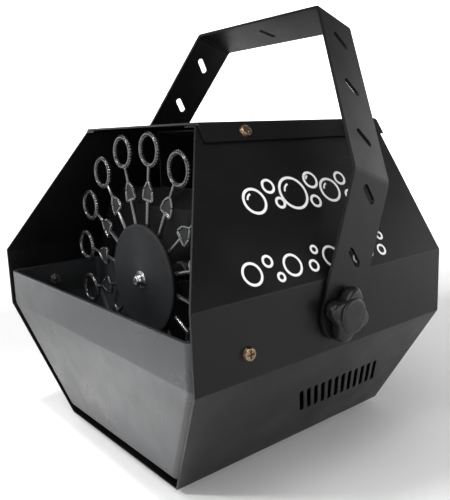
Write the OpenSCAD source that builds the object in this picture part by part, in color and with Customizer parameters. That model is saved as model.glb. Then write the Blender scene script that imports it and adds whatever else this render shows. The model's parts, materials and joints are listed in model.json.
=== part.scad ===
// Tabletop bubble machine: a six-sided sheet-steel housing, open at the front, with a fluid tank,
// a motor-driven wheel of dipping wands, a blower fan and a swinging carrying yoke.
//
// Frame: millimetres, +Z up, -Y is the open front, X is across. The origin is on the surface that
// the feet stand on, at the middle of the object. Each module works in the housing's own frame
// (Y = 0 at the front edges, Z = 0 under the floor) and place() moves it to the shared frame.

/* [Housing] */
// Width at the vertical middle sides
body_w = 240; // [220:1:290]
// Width across the top corners
top_w = 131; // [110:1:150]
// Width across the bottom corners
bottom_w = 138; // [110:1:160]
// Depth from the front edges to the back edge
body_d = 204; // [180:1:250]
// Height of the shell without its feet
body_h = 208; // [196:1:250]
// Height of the lower fold, where the sides turn vertical
fold_low = 80; // [66:1:90]
// Height of the upper fold, where the sides turn inwards
fold_high = 122; // [116:1:140]
// How far the front edge runs back at the top corners
top_rake = 48; // [30:1:56]
// How far the front edge runs back at the bottom corners
bottom_rake = 20; // [8:1:30]
// Thickness of the folded steel sheet
sheet_t = 1.2; // [0.8:0.1:2]
// Width of the shell's top lips and rear flange
flange_w = 10; // [8:1:12]

/* [Top cover] */
// Thickness of the cover plate
cover_t = 1.2; // [0.8:0.1:2]
// Height of the cover's folded edges
cover_drop = 11; // [9:0.5:14]
// Gap between the cover and what it laps over
cover_gap = 0.3; // [0.2:0.1:1]
// Distance from the cover's front end to its first screw
cover_screw_in = 31; // [15:1:50]
// Distance from the cover's rear end to its second screw
cover_screw_back = 34; // [20:1:60]

/* [Fluid tank] */
// Height of the tank's rim
tank_top = 106; // [98:1:110]
// Gap between the tank and the shell's floor, filled by the rubber pads
tank_clear = 3.8; // [3.8:0.1:5]
// Wall of the tank
tank_wall = 2.5; // [2:0.1:3]
// Radius of the tank's outer corners
tank_round = 6; // [4:0.5:8]
// Gap between the tank and the shell, filled by the rubber washers
tank_gap = 1; // [0.6:0.1:2]
// Gap between the tank's back wall and the bulkhead
tank_back_gap = 4; // [3:0.5:8]
// Distance of the side screws from the front edges
tank_screw_y = 34; // [20:1:38]
// Height of the side screws
tank_screw_z = 94; // [86:1:98]

/* [Bubble wheel] */
// Number of wands
wand_count = 16; // [8:1:16]
// Radius of the circle through the ring centres
ring_circle_r = 85.5; // [76:0.5:86]
// Outer radius of a ring
ring_r = 11.5; // [9:0.5:12]
// Width of a ring's wall
ring_wall = 3.4; // [2:0.1:5]
// Thickness of the wheel moulding
wheel_t = 3.5; // [2.5:0.1:5]
// Distance of the wheel's middle plane from the front edges
wheel_y = 50; // [49:0.5:54]
// Height of the wheel's axle
axle_z = 110; // [108:0.5:110]
// Width of the arms
arm_w = 3; // [2:0.1:4]
// Radius where the scoops begin
scoop_r = 52; // [48:0.5:56]
// Width of a scoop
scoop_w = 14; // [8:0.5:15]
// Length of a scoop
scoop_l = 15; // [10:0.5:16]
// Radius of the wheel's hub plate
hub_r = 33; // [26:0.5:35]
// Radius of the cover disc on the hub
hub_disc_r = 37; // [34:0.5:44]
// Thickness of the cover disc
hub_disc_t = 2.5; // [1.5:0.1:4]
// Angle of the first wand from straight up
wand_phase = 8.5; // [0:0.5:22]

/* [Drive] */
// Radius of the drive shaft
shaft_r = 3; // [2.5:0.1:4]
// Distance of the bulkhead from the front edges
bulkhead_y = 80; // [76:0.5:88]
// Height where the bulkhead bends back
bulkhead_bend_z = 153; // [146:1:158]
// Height of the bulkhead's upper edge
bulkhead_top_z = 165; // [160:1:170]
// How far the bulkhead's upper edge leans back
bulkhead_lean = 10; // [6:0.5:14]
// Radius of the gear motor's can
motor_r = 25; // [20:0.5:28]
// Depth of the gear motor's can
motor_d = 20; // [15:0.5:28]
// Distance of the motor screws from the axle
motor_screw_x = 30; // [29:0.5:40]

/* [Fan] */
// Depth of the fan frame
fan_d = 25; // [20:1:28]
// Height of the fan's axle
fan_z = 151; // [146:1:151]
// Radius of the fan's bore
fan_bore_r = 38; // [36:0.5:38]
// Gap between the blade tips and the bore
fan_tip_gap = 1.5; // [1:0.1:3]
// Number of blades
blade_count = 7; // [5:1:9]
// Pitch of the blades
blade_pitch = 38; // [25:1:45]
// Radius of the rotor's hub
rotor_hub_r = 16; // [13:0.5:18]

/* [Side vents] */
// Number of slots on each lower side
vent_count = 12; // [6:1:12]
// Spacing of the slots
vent_pitch = 6.4; // [5.5:0.1:6.4]
// Length of a slot
vent_l = 29; // [16:1:34]
// Width of a slot
vent_w = 3; // [2:0.1:3.5]
// Lean of the slots towards the back at their lower ends
vent_lean = 29; // [0:1:32]
// Distance of the first slot from the front edges
vent_y = 98.7; // [98:0.1:110]
// Height of the row of slots
vent_z = 38.9; // [30:0.1:45]

/* [Carrying yoke] */
// Width of the flat bar
bar_w = 32.4; // [26:0.2:34]
// Thickness of the flat bar
bar_t = 2; // [1.5:0.1:3]
// Distance of the pivots from the front edges
pivot_y = 102; // [96:0.5:120]
// Height of the pivots
pivot_z = 101; // [97:0.5:104]
// Length of the straight part above the pivot
yoke_low = 80; // [70:1:95]
// Height of the top bar above the pivot
yoke_high = 185; // [170:1:230]
// Width across the top bar's corners
yoke_top_w = 127; // [110:1:140]
// Lean of the yoke towards the back
yoke_lean = 20; // [0:1:40]
// Length of the slots in the bar
bar_slot_l = 14; // [8:0.5:16]
// Width of the slots in the bar
bar_slot_w = 4.4; // [3:0.1:6]
// Slant of the slots from across the bar
bar_slot_slant = 36; // [0:1:45]
// Spacing of the slots along the bar
bar_slot_pitch = 37; // [30:1:38]
// Distance of the first slot from the pivot
bar_slot_first = 32; // [26:1:34]

/* [Knobs] */
// Radius to the tips of the lobes
knob_r = 16; // [14:0.5:18]
// Radius of one lobe's rounded end
lobe_r = 5.5; // [4:0.1:6]
// Number of lobes
lobe_count = 4; // [3:1:6]
// Depth of the lobed part
knob_d = 8; // [7:0.5:12]
// Radius of the round cap
cap_r = 10; // [8:0.5:11]
// Depth of the round cap
cap_d = 1.8; // [1:0.1:3]
// Angle of the first lobe from level
lobe_phase = 68; // [0:1:90]
// Radius of the threaded stud
stud_r = 3; // [2.5:0.1:4]
// Thickness of the nylon washers
washer_t = 0.6; // [0.5:0.1:1.2]

/* [Rear fittings] */
// Height of the row of rear fittings
fittings_z = 44; // [36:1:50]
// Distance of the inlet from the middle
inlet_x = 46; // [42:1:52]
// Distance of the fuse holder from the middle
fuse_x = 40; // [30:1:52]
// Width of the inlet's mouth
inlet_mouth_w = 24; // [22:0.5:25]
// Height of the inlet's mouth
inlet_mouth_h = 16.5; // [15:0.5:18]
// Spacing of the inlet's screws
inlet_screw_pitch = 40; // [40:0.5:44]

/* [Feet] */
// Height of the rubber feet
foot_h = 4; // [3:0.5:12]
// Radius of the feet at the floor
foot_r = 9; // [7:0.5:12]
// Distance of the feet from the middle
foot_x = 50; // [40:1:54]
// Distance of the feet from the front and rear ends of the floor
foot_in = 18; // [14:1:30]

/* [Hidden] */

$fn = 48;
// Clearances, each used wherever that kind of fit comes up.
run_fit = 0.05;     // a shaft turning in a hole
screw_fit = 0.2;    // a screw passing through a hole
panel_fit = 0.3;    // a panel inside a frame, a fitting in its cut-out
side_fit = 0.2;     // flat faces of two bodies that move past each other
through = 20;       // length of a cutter that goes right through sheet metal
past = 1;           // how far a short cutter or a buried end runs past a face
corner_steps = 6;   // straight pieces in the round end of a slot

// M4 and M3 hardware.
m4_r = 2;
m4_head_r = 4;
m4_head_h = 2.4;
m4_nut_r = 4.04;
m4_nut_h = 3.2;
m3_r = 1.5;
m3_head_r = 2.9;
m3_head_h = 1.8;
recess_w = 0.9;
recess_share = 0.6;                    // how far the cross recess reaches, as a share of the head
recess_floor = 0.4;                    // where it starts, as a share of the head's height
head_taper = 0.82;                     // the head's top over its underside

// Housing section.
upper_slope = atan((body_w - top_w) / 2 / (body_h - fold_high));
lower_slope = atan((body_w - bottom_w) / 2 / fold_low);
rear_out = 5;                          // how far the rear fittings stand out of the back edge
front_y = -(body_d + rear_out) / 2;
panel_y = body_d - sheet_t;            // inner face of the rear panel
flange_y = panel_y - sheet_t;          // inner face of the shell's rear flange

// Top cover.
cover_front_in = 0.5;
thread_out = 1;                        // how far a screw comes out of its nut
cover_front = top_rake + cover_front_in;
cover_back = body_d + cover_gap + cover_t;
cover_screw_ys = [cover_front + cover_screw_in, cover_back - cover_screw_back];
cover_screw_z = body_h + cover_gap + cover_t - cover_drop / 2 - cover_front_in;

// Tank.
tank_inset = sheet_t + tank_gap;
tank_floor = sheet_t + tank_clear;
corner_fn = 12;                        // sides of the tank's faceted corners
tank_slack = tank_round * (1 - cos(180 / corner_fn));
inner_slack = (tank_round - tank_wall) * (1 - cos(180 / corner_fn));
tank_side_x = body_w / 2 - tank_inset;
tank_back = bulkhead_y - tank_back_gap;

// Drive train, along Y from front to back.
wheel_front = wheel_y - wheel_t / 2;
wheel_rear = wheel_y + wheel_t / 2;
disc_front = wheel_front - hub_disc_t;
axle_washer_t = 0.8;
axle_nut_h = 3;
spacer_r = 2 * shaft_r;
motor_boss_r = 7;
motor_boss_out = 3.5;
shaft_in_motor = 14;
shaft_out = 1;                         // how far the shaft comes out of the axle nut
motor_front = bulkhead_y + sheet_t;
motor_ear_t = 1;
spacer_back = bulkhead_y - motor_boss_out - side_fit;
shaft_end = motor_front + shaft_in_motor;

// Fan, along Y. The frame is the standard 80 mm size.
fan_w = 80;
fan_screw_pitch = 71.5;
fan_front = panel_y - fan_d;
stator_d = 5;
strut_w = 5;
rotor_gap = 1;                         // gap between the rotor and the stator, and the rotor and the panel
rotor_front = fan_front + stator_d + rotor_gap;
rotor_back = panel_y - rotor_gap;
fan_shaft_r = 1.5;

// Yoke and knobs, along X from the side outwards.
bar_inner = body_w / 2 + washer_t + side_fit;
bar_outer = bar_inner + bar_t;
knob_inner = bar_outer + side_fit;
pivot_nut_h = 5;
stud_out = 3;                          // how far a stud comes out of its nut
stud_end_x = body_w / 2 - sheet_t - pivot_nut_h - stud_out;

// Rear fittings.
inlet_flange_t = 3;
inlet_depth = 20;
inlet_mouth_d = 17;
switch_w = 15;
switch_l = 21;
switch_frame_t = 2;
switch_body_d = 18;
rocker_r = 8.6;
rocker_w = 10;
rocker_pin_r = 1;
rocker_axis_y = body_d - 1.5;
rocker_tilt = 10;
fuse_r = 6;
fuse_flange_r = 8;

// ---------- shared shapes ----------

// Half-width of the housing at height z, moved in by inset measured square to each side.
function half_w(z, inset) = min(
  body_w / 2 - inset,
  top_w / 2 + (body_h - z) * tan(upper_slope) - inset / cos(upper_slope),
  bottom_w / 2 + z * tan(lower_slope) - inset / cos(lower_slope));
function high_fold(inset) =
  body_h - (body_w / 2 - inset - top_w / 2 + inset / cos(upper_slope)) / tan(upper_slope);
function low_fold(inset) =
  (body_w / 2 - inset - bottom_w / 2 + inset / cos(lower_slope)) / tan(lower_slope);

// The six-sided section between heights z0 and z1, moved in by inset.
module section(inset, z0, z1) {
  low = low_fold(inset);
  high = high_fold(inset);
  right = concat(
    [[half_w(z0, inset), z0]],
    z0 < low && z1 > low ? [[body_w / 2 - inset, low]] : [],
    z0 < high && z1 > high ? [[body_w / 2 - inset, high]] : [],
    [[half_w(z1, inset), z1]]);
  left = [for (i = [len(right) - 1:-1:0]) [-right[i][0], right[i][1]]];
  polygon(concat(right, left));
}

// Flat outline (x across, y up) made solid from y0 to y1 along Y.
module along_y(y0, y1) {
  translate([0, y1, 0])
    rotate([90, 0, 0])
      linear_extrude(y1 - y0)
        children();
}

// Flat outline (x back, y up) made solid from x0 to x1 along X.
module along_x(x0, x1) {
  translate([x0, 0, 0])
    rotate([90, 0, 90])
      linear_extrude(x1 - x0)
        children();
}

module place() {
  translate([0, front_y, foot_h])
    children();
}

module both_sides() {
  children();
  mirror([1, 0, 0])
    children();
}

// Long hole of overall length l along X, cut along Z through zero.
module slot_cut(l, w, depth) {
  half = (l - w) / 2;
  ends = [for (s = [1, -1], i = [0:corner_steps])
    let (a = s * 90 - 180 * i / corner_steps)
    [s * half + w / 2 * cos(a), w / 2 * sin(a)]];
  translate([0, 0, -depth / 2])
    linear_extrude(depth)
      polygon(ends);
}

// Pan-head screw along Z: the head's underside is at zero and the shank points down.
module screw(r, l, head_r, head_h) {
  difference() {
    union() {
      translate([0, 0, -l])
        cylinder(r = r, h = l + 0.1);
      cylinder(r1 = head_r, r2 = head_r * head_taper, h = head_h);
    }
    for (a = [0, 90])
      rotate([0, 0, a])
        translate([-head_r * recess_share, -recess_w / 2, head_h * recess_floor])
          cube([2 * head_r * recess_share, recess_w, head_h]);
  }
}

// Hexagon nut along Z, standing on zero.
module nut(r, h, hole_r) {
  difference() {
    cylinder(r = r, h = h, $fn = 6);
    translate([0, 0, -past])
      cylinder(r = hole_r, h = h + 2 * past);
  }
}

module ring_washer(r, h, hole_r) {
  difference() {
    cylinder(r = r, h = h);
    translate([0, 0, -past])
      cylinder(r = hole_r, h = h + 2 * past);
  }
}

// ---------- where repeated things go ----------

module at_cover_screws() {
  both_sides()
    for (y = cover_screw_ys)
      translate([half_w(cover_screw_z, -cover_gap - cover_t), y, cover_screw_z])
        rotate([0, 90 - upper_slope, 0])
          children();
}

module at_tank_screws() {
  both_sides()
    translate([body_w / 2, tank_screw_y, tank_screw_z])
      rotate([0, 90, 0])
        children();
}

module at_pivots() {
  both_sides()
    translate([0, pivot_y, pivot_z])
      rotate([0, 90, 0])
        children();
}

// Screws through the rear panel, at the middle of the flange.
rear_screw_inset = sheet_t + flange_w / 2 + panel_fit;
rear_screw_zs = [
  rear_screw_inset + m3_head_r + past,
  (fold_low + fold_high) / 2,
  body_h + cover_gap + cover_t - cover_drop - m3_head_r - past];
module at_rear_screws() {
  both_sides()
    for (z = rear_screw_zs)
      translate([half_w(z, rear_screw_inset), body_d, z])
        rotate([-90, 0, 0])
          children();
}

foot_ys = [bottom_rake + foot_in, body_d - foot_in];
module at_feet() {
  both_sides()
    for (y = foot_ys)
      translate([foot_x, y, 0])
        children();
}

module at_fan_screws() {
  for (x = [-1, 1], z = [-1, 1])
    translate([x * fan_screw_pitch / 2, body_d, fan_z + z * fan_screw_pitch / 2])
      rotate([-90, 0, 0])
        children();
}

module at_motor_screws() {
  both_sides()
    translate([motor_screw_x, bulkhead_y, axle_z])
      rotate([90, 0, 0])
        children();
}

module at_inlet_screws() {
  for (s = [-1, 1])
    translate([-inlet_x + s * inlet_screw_pitch / 2, body_d + inlet_flange_t, fittings_z])
      rotate([-90, 0, 0])
        children();
}

// ---------- sheet metal ----------

// Side outline of the shell; its front follows the raked edges, the rest runs past the shell.
module shell_side() {
  over = 5;
  top_step = over * top_rake / (body_h - fold_high);
  bottom_step = over * bottom_rake / fold_low;
  polygon([
    [top_rake + top_step, body_h + over],
    [0, fold_high],
    [0, fold_low],
    [bottom_rake + bottom_step, -over],
    [body_d + over, -over],
    [body_d + over, body_h + over]]);
}

module vent_cuts() {
  both_sides()
    for (i = [0:vent_count - 1])
      translate([half_w(vent_z, 0), vent_y + i * vent_pitch, vent_z])
        rotate([0, 90 + lower_slope, 0])
          rotate([0, 0, vent_lean])
            slot_cut(vent_l, vent_w, 6);
}

module shell() {
  color([0.1, 0.1, 0.11])
    place()
      difference() {
        union() {
          intersection() {
            along_y(0, body_d)
              difference() {
                section(0, 0, body_h);
                section(sheet_t, sheet_t, body_h - sheet_t);
                translate([-top_w / 2 + flange_w, body_h - through])
                  square([top_w - 2 * flange_w, 2 * through]);
              }
            along_x(-body_w, body_w)
              shell_side();
          }
          along_y(flange_y, panel_y)
            difference() {
              section(sheet_t / 2, sheet_t / 2, body_h - sheet_t / 2);
              section(sheet_t + flange_w, sheet_t + flange_w, body_h - sheet_t - flange_w);
            }
        }
        vent_cuts();
        at_cover_screws()
          cylinder(r = m3_r + screw_fit, h = through, center = true);
        at_tank_screws()
          cylinder(r = m4_r + screw_fit, h = through, center = true);
        at_pivots()
          translate([0, 0, body_w / 2])
            cylinder(r = stud_r + screw_fit, h = through, center = true);
        at_rear_screws()
          cylinder(r = m3_r + screw_fit, h = through, center = true);
        at_feet()
          cylinder(r = m4_r + screw_fit, h = through, center = true);
        at_terminal_screws()
          cylinder(r = m3_r + screw_fit, h = through, center = true);
      }
}

module top_cover() {
  outer = -cover_gap - cover_t;
  low = body_h + cover_gap + cover_t - cover_drop;
  color([0.09, 0.09, 0.1])
    place()
      difference() {
        union() {
          along_y(cover_front, cover_back)
            difference() {
              section(outer, low, body_h + cover_gap + cover_t);
              section(-cover_gap, low - 1, body_h + cover_gap);
            }
          along_y(cover_back - cover_t, cover_back)
            section(outer, low, body_h + cover_gap + cover_t);
        }
        at_cover_screws()
          cylinder(r = m3_r + screw_fit, h = through, center = true);
      }
}

// Row of upright air slots inside a circle.
grille_r = 34;
grille_pitch = 7;
grille_slot_w = 4;
grille_half = floor(grille_r / grille_pitch);
module grille_cuts() {
  for (i = [-grille_half:grille_half]) {
    half = sqrt(grille_r * grille_r - i * i * grille_pitch * grille_pitch);
    translate([i * grille_pitch, body_d - sheet_t / 2, fan_z])
      rotate([90, 0, 0])
        rotate([0, 0, 90])
          slot_cut(max(2 * half, 2 * grille_slot_w), grille_slot_w, through);
  }
}

module rear_panel() {
  inset = sheet_t + panel_fit;
  color([0.1, 0.1, 0.11])
    place()
      difference() {
        along_y(panel_y, body_d)
          section(inset, inset, body_h - inset);
        grille_cuts();
        at_rear_screws()
          cylinder(r = m3_r + screw_fit, h = through, center = true);
        at_fan_screws()
          cylinder(r = m4_r + screw_fit, h = through, center = true);
        at_inlet_screws()
          cylinder(r = m3_r + screw_fit, h = through, center = true);
        translate([-inlet_x, body_d, fittings_z])
          cube([inlet_body_w + 2 * panel_fit, through, inlet_body_h + 2 * panel_fit], center = true);
        translate([0, body_d, fittings_z])
          cube([switch_body_w + 2 * panel_fit, through, switch_body_l + 2 * panel_fit], center = true);
        translate([fuse_x, body_d, fittings_z])
          rotate([90, 0, 0])
            cylinder(r = fuse_r + panel_fit, h = through, center = true);
      }
}

// The wall behind the wheel, bent back above the wheel's hub, with side flanges to the shell.
bulkhead_flange = 12;
module bulkhead() {
  color([0.13, 0.13, 0.14])
    place()
      difference() {
        union() {
          along_y(bulkhead_y, bulkhead_y + sheet_t)
            section(sheet_t, sheet_t, bulkhead_bend_z);
          along_y(bulkhead_y, bulkhead_y + bulkhead_flange)
            difference() {
              section(sheet_t, sheet_t, bulkhead_bend_z);
              section(2 * sheet_t, 2 * sheet_t, bulkhead_bend_z + 1);
            }
          along_x(-half_w(bulkhead_top_z, sheet_t), half_w(bulkhead_top_z, sheet_t))
            polygon([
              [bulkhead_y, bulkhead_bend_z - 1],
              [bulkhead_y + bulkhead_lean, bulkhead_top_z],
              [bulkhead_y + bulkhead_lean + sheet_t, bulkhead_top_z],
              [bulkhead_y + sheet_t, bulkhead_bend_z - 1]]);
        }
        translate([0, bulkhead_y, axle_z])
          rotate([90, 0, 0])
            cylinder(r = motor_boss_r + screw_fit, h = through, center = true);
        at_motor_screws()
          cylinder(r = m4_r + screw_fit, h = through, center = true);
      }
}

// Tapered air passage: its collar slips over the fan frame, its mouth is behind the upper rings.
duct_t = 1;
duct_lap = 5;
duct_top_gap = 2;
duct_half = fan_w / 2 + run_fit + duct_t;
duct_front = bulkhead_y + bulkhead_lean + sheet_t + panel_fit;
duct_back = fan_front + duct_lap;
duct_collar = fan_front - m4_nut_h - 3 * thread_out;
module duct_side(inset) {
  over = inset > 0 ? through : 0;
  reach = duct_collar - duct_front;
  rise_top = (body_h - duct_top_gap - fan_z - duct_half) / reach;
  rise_low = (bulkhead_top_z - fan_z + duct_half) / reach;
  polygon([
    [duct_front - over, bulkhead_top_z + inset + over * rise_low],
    [duct_collar, fan_z - duct_half + inset],
    [duct_back + over, fan_z - duct_half + inset],
    [duct_back + over, fan_z + duct_half - inset],
    [duct_collar, fan_z + duct_half - inset],
    [duct_front - over, body_h - duct_top_gap - inset + over * rise_top]]);
}

module air_duct() {
  color([0.16, 0.16, 0.17])
    place()
      difference() {
        along_x(-duct_half, duct_half)
          duct_side(0);
        along_x(-duct_half + duct_t, duct_half - duct_t)
          duct_side(duct_t);
      }
}

// ---------- fluid tank ----------

// Rounded tub body; shrink moves every face in by that much.
tank_front_in = 0.5;
notch_half = spacer_r + 1;
module tank_form(shrink) {
  inset = tank_inset + tank_round;
  floor_z = tank_floor + tank_round;
  levels = [
    [half_w(floor_z, inset), floor_z, bottom_rake * (1 - floor_z / fold_low)],
    [body_w / 2 - inset, low_fold(inset), 0],
    [body_w / 2 - inset, tank_top + tank_round, 0]];
  hull()
    for (p = levels, s = [-1, 1], y = [p[2] + tank_round + tank_front_in, tank_back - tank_round])
      translate([s * p[0], y, p[1]])
        sphere(r = tank_round - shrink, $fn = corner_fn);
}

module solution_tank() {
  color([0.24, 0.25, 0.26])
    place()
      difference() {
        tank_form(0);
        tank_form(tank_wall);
        translate([-body_w / 2, -through, tank_top])
          cube([body_w, tank_back + 2 * through, 2 * through]);
        at_tank_screws()
          cylinder(r = m4_r + screw_fit, h = through, center = true);
        translate([-notch_half, tank_back - through / 2, axle_z - notch_half])
          cube([2 * notch_half, through, through]);
      }
}

pad_w = 16;
pad_l = 30;
pad_x = 30;
module tank_pads() {
  color([0.05, 0.05, 0.05])
    place()
      both_sides()
        translate([pad_x - pad_w / 2, wheel_y - pad_l / 2, sheet_t])
          cube([pad_w, pad_l, tank_clear + tank_slack]);
}

tank_washer_r = 5;
module tank_washers() {
  color([0.05, 0.05, 0.05])
    place()
      at_tank_screws()
        translate([0, 0, -tank_inset - tank_slack])
          ring_washer(tank_washer_r, tank_gap + tank_slack, m4_r + screw_fit);
}

tank_screw_l = tank_inset + tank_wall + inner_slack + m4_nut_h + thread_out;
module tank_screws() {
  color([0.42, 0.33, 0.22])
    place()
      at_tank_screws()
        screw(m4_r, tank_screw_l, m4_head_r, m4_head_h);
}

module tank_nuts() {
  color([0.6, 0.6, 0.62])
    place()
      at_tank_screws()
        translate([0, 0, -tank_inset - tank_wall - inner_slack - m4_nut_h])
          nut(m4_nut_r, m4_nut_h, m4_r + run_fit);
}

// ---------- fasteners of the housing ----------

cover_screw_l = 8;
rear_screw_l = 8;
inlet_screw_l = 9;
module cover_screws() {
  color([0.42, 0.33, 0.22])
    place()
      at_cover_screws()
        screw(m3_r, cover_screw_l, m4_head_r, m4_head_h);
}

module rear_screws() {
  color([0.12, 0.12, 0.12])
    place()
      at_rear_screws()
        screw(m3_r, rear_screw_l, m3_head_r, m3_head_h);
}

// ---------- feet ----------

foot_flare = 1;
foot_recess_r = 4.6;
foot_head_in = 0.4;
foot_thread_out = 0.3;
foot_recess_h = 2.6;
module rubber_feet() {
  color([0.04, 0.04, 0.04])
    translate([0, front_y, 0])
      at_feet()
        difference() {
          cylinder(r1 = foot_r, r2 = foot_r + foot_flare, h = foot_h);
          translate([0, 0, -past])
            cylinder(r = m4_r + screw_fit, h = foot_h + 2 * past);
          translate([0, 0, -past])
            cylinder(r = foot_recess_r, h = foot_recess_h + past);
        }
}

foot_screw_l = foot_h - foot_recess_h + sheet_t + m4_nut_h + foot_thread_out;
module foot_screws() {
  color([0.55, 0.55, 0.56])
    translate([0, front_y, foot_recess_h])
      at_feet()
        mirror([0, 0, 1])
          screw(m4_r, foot_screw_l, m4_head_r, foot_recess_h - foot_head_in);
}

module foot_nuts() {
  color([0.6, 0.6, 0.62])
    place()
      at_feet()
        translate([0, 0, sheet_t])
          nut(m4_nut_r, m4_nut_h, m4_r + run_fit);
}

// ---------- yoke and knobs ----------

// Centre line height and distance of the bar's outer corners, from the pivot.
yoke_foot = bar_w / 2;
yoke_angle = atan((bar_outer - yoke_top_w / 2) / (yoke_high - yoke_low));
yoke_bend = bar_t * tan(yoke_angle / 2);
yoke_top_bend = bar_t * tan((90 - yoke_angle) / 2);

// Front view of the bent bar, seen along Y.
module yoke_outline() {
  outer = [
    [bar_outer, -yoke_foot],
    [bar_outer, yoke_low],
    [yoke_top_w / 2, yoke_high]];
  inner = [
    [yoke_top_w / 2 - yoke_top_bend, yoke_high - bar_t],
    [bar_inner, yoke_low - yoke_bend],
    [bar_inner, -yoke_foot]];
  polygon(concat(outer, [for (i = [2:-1:0]) [-outer[i][0], outer[i][1]]],
    [for (i = [2:-1:0]) [-inner[i][0], inner[i][1]]], inner));
}

// Slots along one leg: those below the bend, then those on the leaning part.
leg_len = (yoke_high - yoke_low) / cos(yoke_angle);
leg_slots = [for (i = [0:4]) bar_slot_first + i * bar_slot_pitch];
module yoke_slots() {
  for (s = leg_slots)
    if (s < yoke_low)
      translate([bar_outer, 0, s])
        rotate([0, 90, 0])
          rotate([0, 0, 90 - bar_slot_slant])
            slot_cut(bar_slot_l, bar_slot_w, 4 * bar_t);
    else
      translate([bar_outer, 0, yoke_low])
        rotate([0, -yoke_angle, 0])
          translate([0, 0, s - yoke_low])
            rotate([0, 90, 0])
              rotate([0, 0, 90 - bar_slot_slant])
                slot_cut(bar_slot_l, bar_slot_w, 4 * bar_t);
}

module yoke() {
  color([0.1, 0.1, 0.11])
    place()
      translate([0, pivot_y, pivot_z])
        rotate([-yoke_lean, 0, 0])
          difference() {
            intersection() {
              along_y(-bar_w / 2, bar_w / 2)
                yoke_outline();
              union() {
                rotate([0, 90, 0])
                  cylinder(r = bar_w / 2, h = 2 * bar_outer + through, center = true);
                translate([-bar_outer - through, -bar_w, 0])
                  cube([2 * bar_outer + 2 * through, 2 * bar_w, yoke_high + through]);
              }
            }
            rotate([0, 90, 0])
              cylinder(r = stud_r + run_fit, h = 2 * bar_outer + through, center = true);
            both_sides()
              yoke_slots();
            translate([0, 0, yoke_high])
              rotate([0, 0, 90 - bar_slot_slant / 2])
                slot_cut(bar_slot_l, bar_slot_w, 4 * bar_t);
          }
}

pivot_washer_r = 11;
pivot_nut_r = stud_r + 3;
module pivot_washers() {
  color([0.75, 0.75, 0.72])
    place()
      at_pivots()
        translate([0, 0, body_w / 2])
          ring_washer(pivot_washer_r, washer_t, stud_r + screw_fit);
}

module pivot_nuts() {
  color([0.6, 0.6, 0.62])
    place()
      at_pivots()
        translate([0, 0, body_w / 2 - sheet_t - pivot_nut_h])
          nut(pivot_nut_r, pivot_nut_h, stud_r + run_fit);
}

// Lobed hand knob on the +X side; its stud goes through the bar into the nut inside the shell.
lobe_step = 0.7;                       // how far the lobes stand back from the knob's two faces
module knob_form() {
  core_r = knob_r - lobe_r;
  difference() {
    union() {
      translate([knob_inner, 0, 0])
        rotate([0, 90, 0])
          cylinder(r = core_r, h = knob_d);
      for (i = [0:lobe_count - 1])
        rotate([lobe_phase + i * 360 / lobe_count, 0, 0])
          translate([knob_inner + lobe_step, core_r, 0])
            rotate([0, 90, 0])
              cylinder(r = lobe_r, h = knob_d - 2 * lobe_step);
      translate([knob_inner + knob_d - lobe_step, 0, 0])
        rotate([0, 90, 0])
          cylinder(r1 = cap_r, r2 = cap_r - cap_d / 2, h = cap_d + lobe_step);
    }
    translate([knob_inner - past, 0, 0])
      rotate([0, 90, 0])
        cylinder(r = stud_r, h = knob_d - past);
  }
}

module knob_right() {
  color([0.06, 0.06, 0.07])
    place()
      translate([0, pivot_y, pivot_z])
        knob_form();
}

module knob_left() {
  color([0.06, 0.06, 0.07])
    place()
      translate([0, pivot_y, pivot_z])
        mirror([1, 0, 0])
          knob_form();
}

module stud_form() {
  translate([stud_end_x, 0, 0])
    rotate([0, 90, 0])
      cylinder(r = stud_r, h = knob_inner + knob_d - 2 * past - stud_end_x);
}

module stud_right() {
  color([0.7, 0.7, 0.72])
    place()
      translate([0, pivot_y, pivot_z])
        stud_form();
}

module stud_left() {
  color([0.7, 0.7, 0.72])
    place()
      translate([0, pivot_y, pivot_z])
        mirror([1, 0, 0])
          stud_form();
}

// ---------- bubble wheel and its drive ----------

// Wheel axis upright here: the wheel lies flat, its rear face on zero, first wand along +Y.
module at_axle(y) {
  translate([0, y, axle_z])
    rotate([90, 0, 0])
      children();
}

neck_w = 2.4;
web_t = 1.2;
module scoop_outline(inset) {
  polygon([
    [-scoop_w / 2 + inset * 1.3, scoop_r + inset],
    [scoop_w / 2 - inset * 1.3, scoop_r + inset],
    [0, scoop_r + scoop_l - inset * 2]]);
}

module wand() {
  translate([-arm_w / 2, hub_r - 1, 0])
    cube([arm_w, scoop_r - hub_r + 2, wheel_t]);
  linear_extrude(wheel_t)
    difference() {
      scoop_outline(0);
      scoop_outline(1.6);
    }
  translate([0, 0, (wheel_t - web_t) / 2])
    linear_extrude(web_t)
      scoop_outline(1.2);
  translate([-neck_w / 2, scoop_r + scoop_l - 3, 0.3])
    cube([neck_w, ring_circle_r - ring_r - scoop_r - scoop_l + 4, wheel_t - 0.6]);
  translate([0, ring_circle_r, 0])
    difference() {
      cylinder(r = ring_r, h = wheel_t);
      translate([0, 0, -1])
        cylinder(r = ring_r - ring_wall, h = wheel_t + 2);
    }
}

module wand_wheel() {
  color([0.05, 0.05, 0.06])
    place()
      at_axle(wheel_rear)
        difference() {
          union() {
            cylinder(r = hub_r, h = wheel_t);
            for (i = [0:wand_count - 1])
              rotate([0, 0, -wand_phase + i * 360 / wand_count])
                wand();
          }
          cylinder(r = shaft_r + run_fit, h = 4 * through, center = true);
        }
}

module shaft_spacer() {
  color([0.05, 0.05, 0.05])
    place()
      at_axle(spacer_back)
        ring_washer(spacer_r, spacer_back - wheel_rear, shaft_r + run_fit);
}

module hub_disc() {
  color([0.07, 0.07, 0.08])
    place()
      at_axle(wheel_front)
        difference() {
          cylinder(r = hub_disc_r, h = hub_disc_t);
          translate([0, 0, -1])
            cylinder(r = shaft_r + run_fit, h = hub_disc_t + 2);
        }
}

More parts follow.
